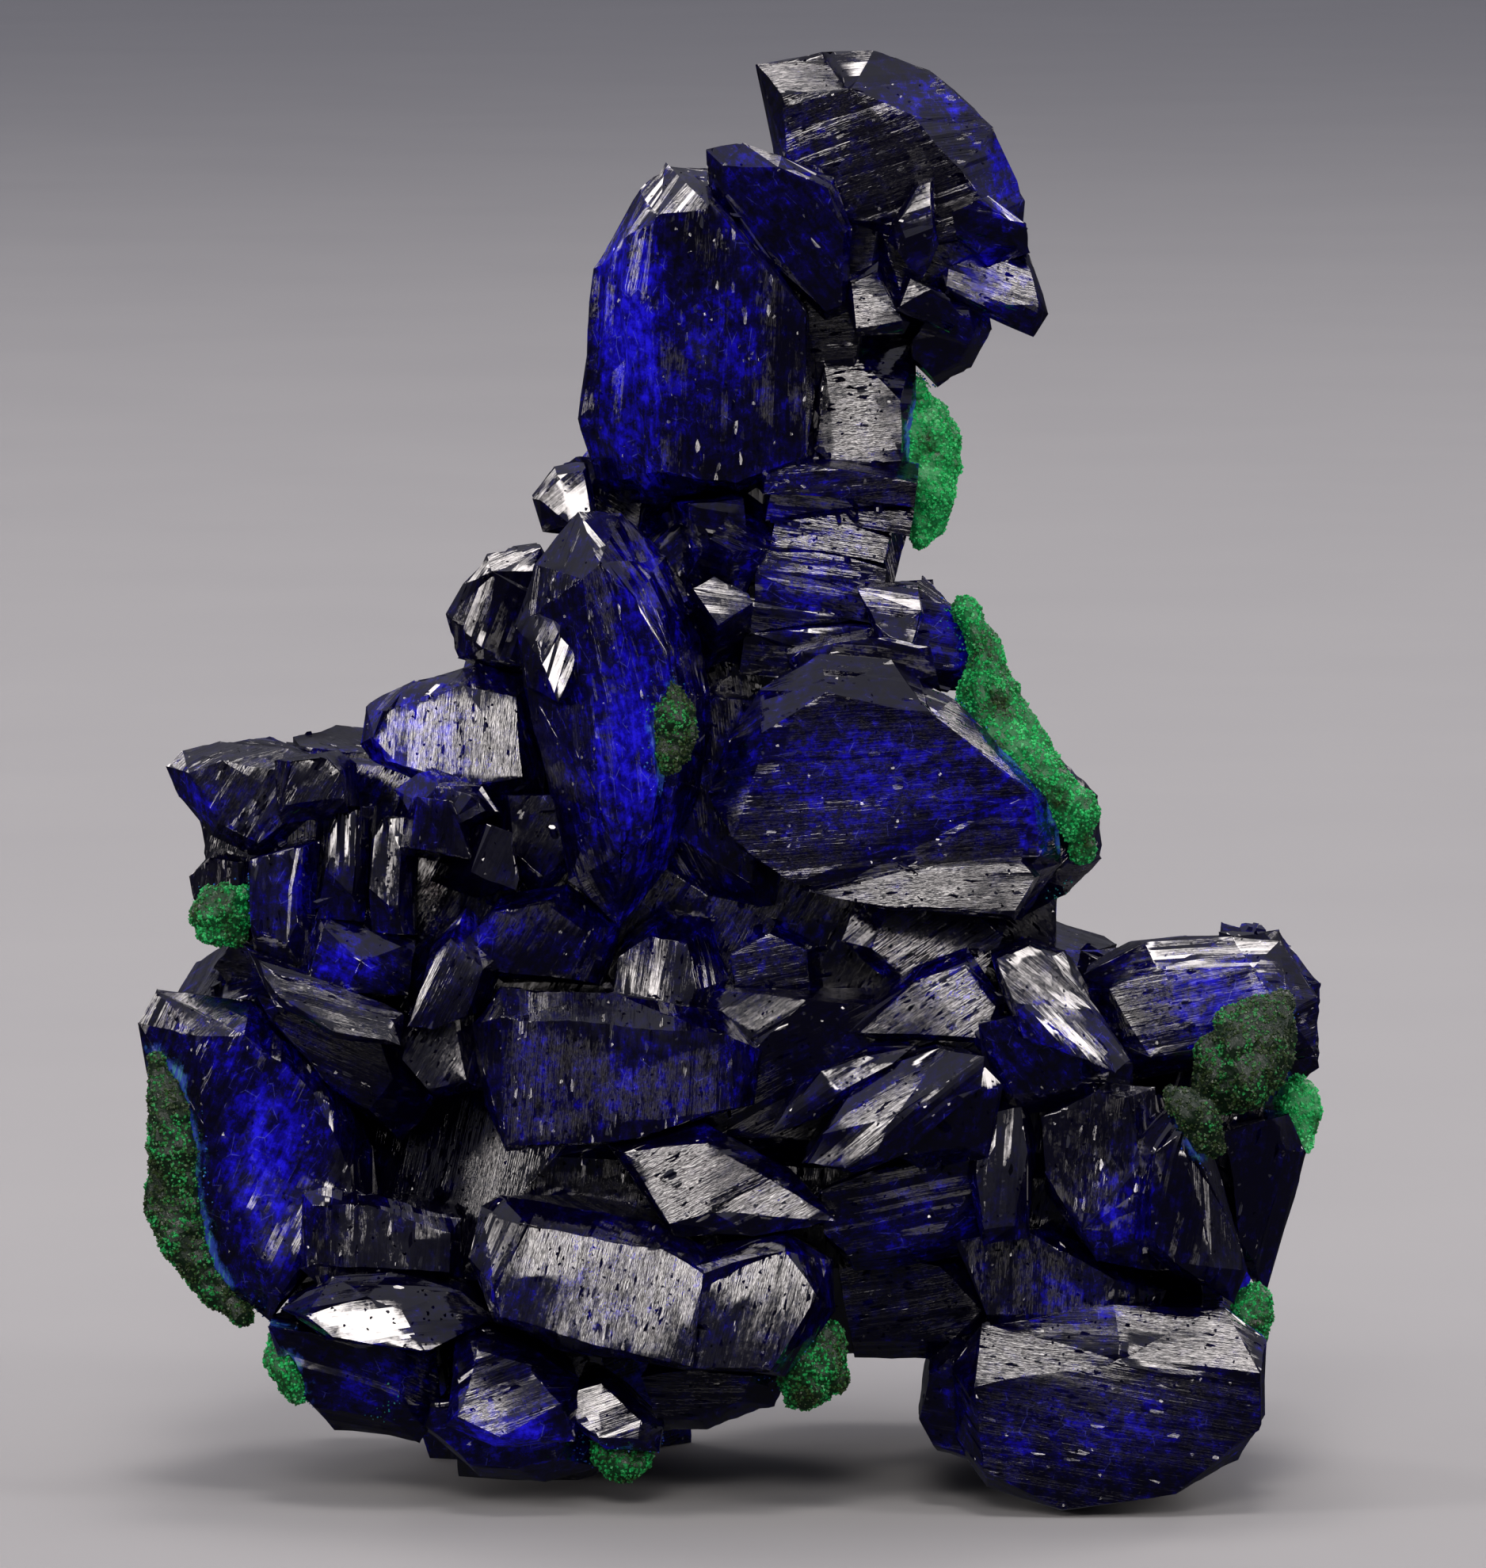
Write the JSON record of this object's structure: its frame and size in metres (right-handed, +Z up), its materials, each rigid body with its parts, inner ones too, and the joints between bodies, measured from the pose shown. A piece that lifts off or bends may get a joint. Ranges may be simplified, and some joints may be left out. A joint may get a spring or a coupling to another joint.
{
  "type": "azurite specimen",
  "caption": "Tower of intergrown deep blue azurite crystals with striated, glassy blocky faces and crusts of green malachite, standing on its own broken base; a display mineral.",
  "frame": {"origin": "middle of the bounding box, on the surface that the specimen rests on", "axes": "+Z up along the tower, +X to the right seen from the front, and the front faces -Y"},
  "size_m": [0.0738, 0.0464, 0.0902],
  "materials": {
    "azurite": "glossy, striated",
    "malachite": "matte, granular"
  },
  "bodies": {
    "root": {"azurite_cluster": "azurite", "malachite_neck": "malachite", "malachite_slope": "malachite", "malachite_left_knob": "malachite", "malachite_left_flank": "malachite", "malachite_left_thread": "malachite", "malachite_shoulder": "malachite", "malachite_shoulder_strip": "malachite", "malachite_right_strip": "malachite", "malachite_right_edge": "malachite", "malachite_base_middle": "malachite", "malachite_base_left": "malachite", "malachite_blade_patch": "malachite"}
  },
  "joints": []
}
